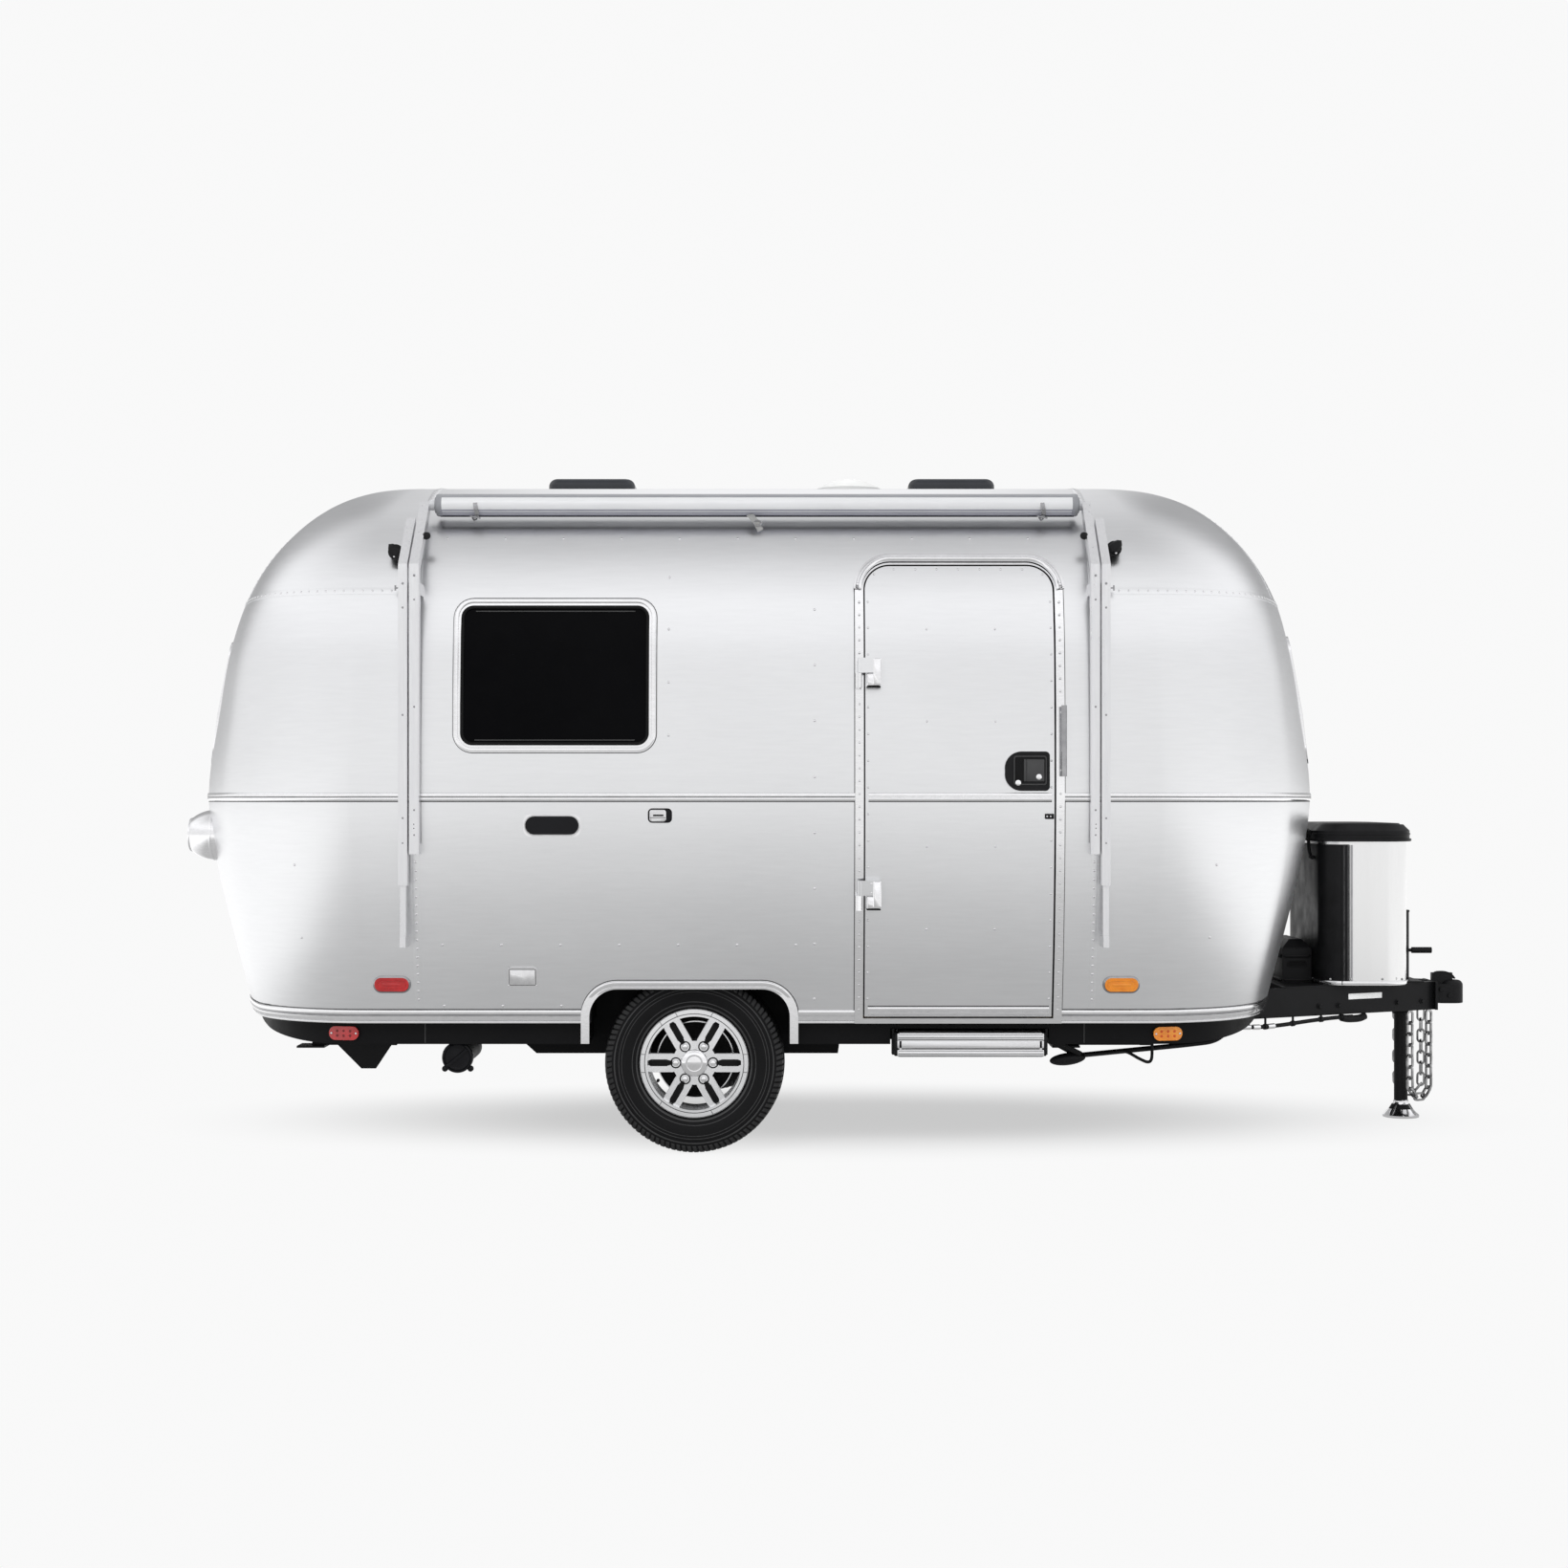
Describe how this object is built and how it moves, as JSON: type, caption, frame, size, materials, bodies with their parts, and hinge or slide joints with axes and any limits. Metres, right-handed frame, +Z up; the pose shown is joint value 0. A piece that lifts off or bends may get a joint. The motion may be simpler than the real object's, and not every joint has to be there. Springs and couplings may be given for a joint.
{
  "type": "travel trailer",
  "caption": "Small riveted aluminium travel trailer with rounded ends, a side door, rolled awning, single axle, folding step, corner legs and an A-frame with jack and ball coupler.",
  "frame": {"origin": "on the ground under the middle of the trailer's overall box, on its centreline", "axes": "+X towards the coupler, -Y towards the curb side with the door, +Z up"},
  "size_m": [5.303, 2.4984, 2.717],
  "materials": {
    "shell_aluminium": "satin, riveted",
    "trim_aluminium": "bright",
    "awning_white": "smooth",
    "black_steel": "satin",
    "black_plastic": "matte",
    "step_aluminium": "brushed",
    "alloy": "machined",
    "tyre": "matte",
    "dark_glass": "tinted",
    "red_lens": "gloss",
    "amber_lens": "gloss",
    "white_plastic": "gloss",
    "smoke_plastic": "gloss",
    "chain_steel": "plated",
    "bottle_paint": "gloss",
    "floor_ply": "sealed"
  },
  "bodies": {
    "trailer": {"aframe_rails": "black_steel", "arch_trims": "trim_aluminium", "awning_arms": "trim_aluminium", "awning_roller": "awning_white", "axle_arms": "black_steel", "axle_tube": "black_steel", "battery_box": "black_plastic", "belly_pan": "black_plastic", "coupler": "black_steel", "door_frame": "trim_aluminium", "drain_outlet": "black_plastic", "floor": "floor_ply", "front_cap": "shell_aluminium", "front_wall": "shell_aluminium", "gas_bottles": "bottle_paint", "gas_cover": "shell_aluminium", "grab_handle": "trim_aluminium", "jack_tube": "black_steel", "lenses_amber": "amber_lens", "lenses_red": "red_lens", "pan_brackets": "black_steel", "rear_cap": "shell_aluminium", "rear_wall": "shell_aluminium", "roof_fittings": "white_plastic", "roof_middle": "shell_aluminium", "safety_chains": "chain_steel", "scene_lamps": "black_plastic", "tail_bodies": "shell_aluminium", "tongue_tray": "black_steel", "wall_curb": "shell_aluminium", "wall_fittings": "trim_aluminium", "wall_street": "shell_aluminium", "wheel_wells": "black_plastic", "window_frames": "trim_aluminium", "window_glass": "dark_glass"},
    "wheel_set_curb": {"tyre_curb": "tyre", "wheel_curb": "alloy"},
    "wheel_set_street": {"tyre_street": "tyre", "wheel_street": "alloy"},
    "door": {"door_panel": "shell_aluminium", "door_latch": "black_plastic"},
    "step_swing_arms": {"step_arms": "black_steel"},
    "step_tread_pair": {"step_treads": "step_aluminium"},
    "jack_sliding_leg": {"jack_leg": "black_steel"},
    "corner_leg_rear_curb": {"leg_rear_curb": "black_steel"},
    "corner_leg_rear_street": {"leg_rear_street": "black_steel"},
    "corner_leg_front_curb": {"leg_front_curb": "black_steel"},
    "corner_leg_front_street": {"leg_front_street": "black_steel"},
    "gas_cover_lid": {"gas_lid": "black_plastic"},
    "roof_vent_lid_rear": {"vent_lid_rear": "smoke_plastic"},
    "roof_vent_lid_front": {"vent_lid_front": "smoke_plastic"}
  },
  "joints": [
    {"name": "wheel_curb_turn", "type": "hinge", "parent": "trailer", "child": "wheel_set_curb", "pos_m": [-0.616, -0.9595, 0.346], "axis": [0, 1, 0], "continuous": true},
    {"name": "wheel_street_turn", "type": "hinge", "parent": "trailer", "child": "wheel_set_street", "pos_m": [-0.616, 0.9595, 0.346], "axis": [0, 1, 0], "continuous": true},
    {"name": "door_swing", "type": "hinge", "parent": "trailer", "child": "door", "pos_m": [0.01, -1.246, 1.4], "axis": [0, 0, -1], "range_deg": [0, 165]},
    {"name": "step_swing", "type": "hinge", "parent": "trailer", "child": "step_swing_arms", "pos_m": [0.4355, -1.04, 0.396], "axis": [-1, 0, 0], "range_deg": [0, 150]},
    {"name": "step_level", "type": "hinge", "parent": "step_swing_arms", "child": "step_tread_pair", "pos_m": [0.4355, -0.89, 0.396], "axis": [-1, 0, 0], "range_deg": [-150, 0]},
    {"name": "jack_slide", "type": "slide", "parent": "trailer", "child": "jack_sliding_leg", "axis": [0, 0, 1], "range_m": [0, 0.33]},
    {"name": "corner_leg_rear_curb_fold", "type": "hinge", "parent": "trailer", "child": "corner_leg_rear_curb", "pos_m": [-1.836, -0.64, 0.392], "axis": [0, -1, 0], "range_deg": [0, 80]},
    {"name": "corner_leg_rear_street_fold", "type": "hinge", "parent": "trailer", "child": "corner_leg_rear_street", "pos_m": [-1.836, 0.64, 0.392], "axis": [0, -1, 0], "range_deg": [0, 80]},
    {"name": "corner_leg_front_curb_fold", "type": "hinge", "parent": "trailer", "child": "corner_leg_front_curb", "pos_m": [1.166, -0.64, 0.392], "axis": [0, -1, 0], "range_deg": [0, 80]},
    {"name": "corner_leg_front_street_fold", "type": "hinge", "parent": "trailer", "child": "corner_leg_front_street", "pos_m": [1.166, 0.64, 0.392], "axis": [0, -1, 0], "range_deg": [0, 80]},
    {"name": "gas_lid_hinge", "type": "hinge", "parent": "trailer", "child": "gas_cover_lid", "pos_m": [2.319, 0, 1.173], "axis": [0, 1, 0], "range_deg": [0, 95]},
    {"name": "vent_rear_hinge", "type": "hinge", "parent": "trailer", "child": "roof_vent_lid_rear", "pos_m": [-0.9, 0, 2.6542], "axis": [0, 1, 0], "range_deg": [0, 60]},
    {"name": "vent_front_hinge", "type": "hinge", "parent": "trailer", "child": "roof_vent_lid_front", "pos_m": [0.612, 0, 2.6542], "axis": [0, 1, 0], "range_deg": [0, 60]}
  ],
  "couplings": [
    {"joint": "step_level", "follows": "step_swing", "ratio": -1}
  ]
}
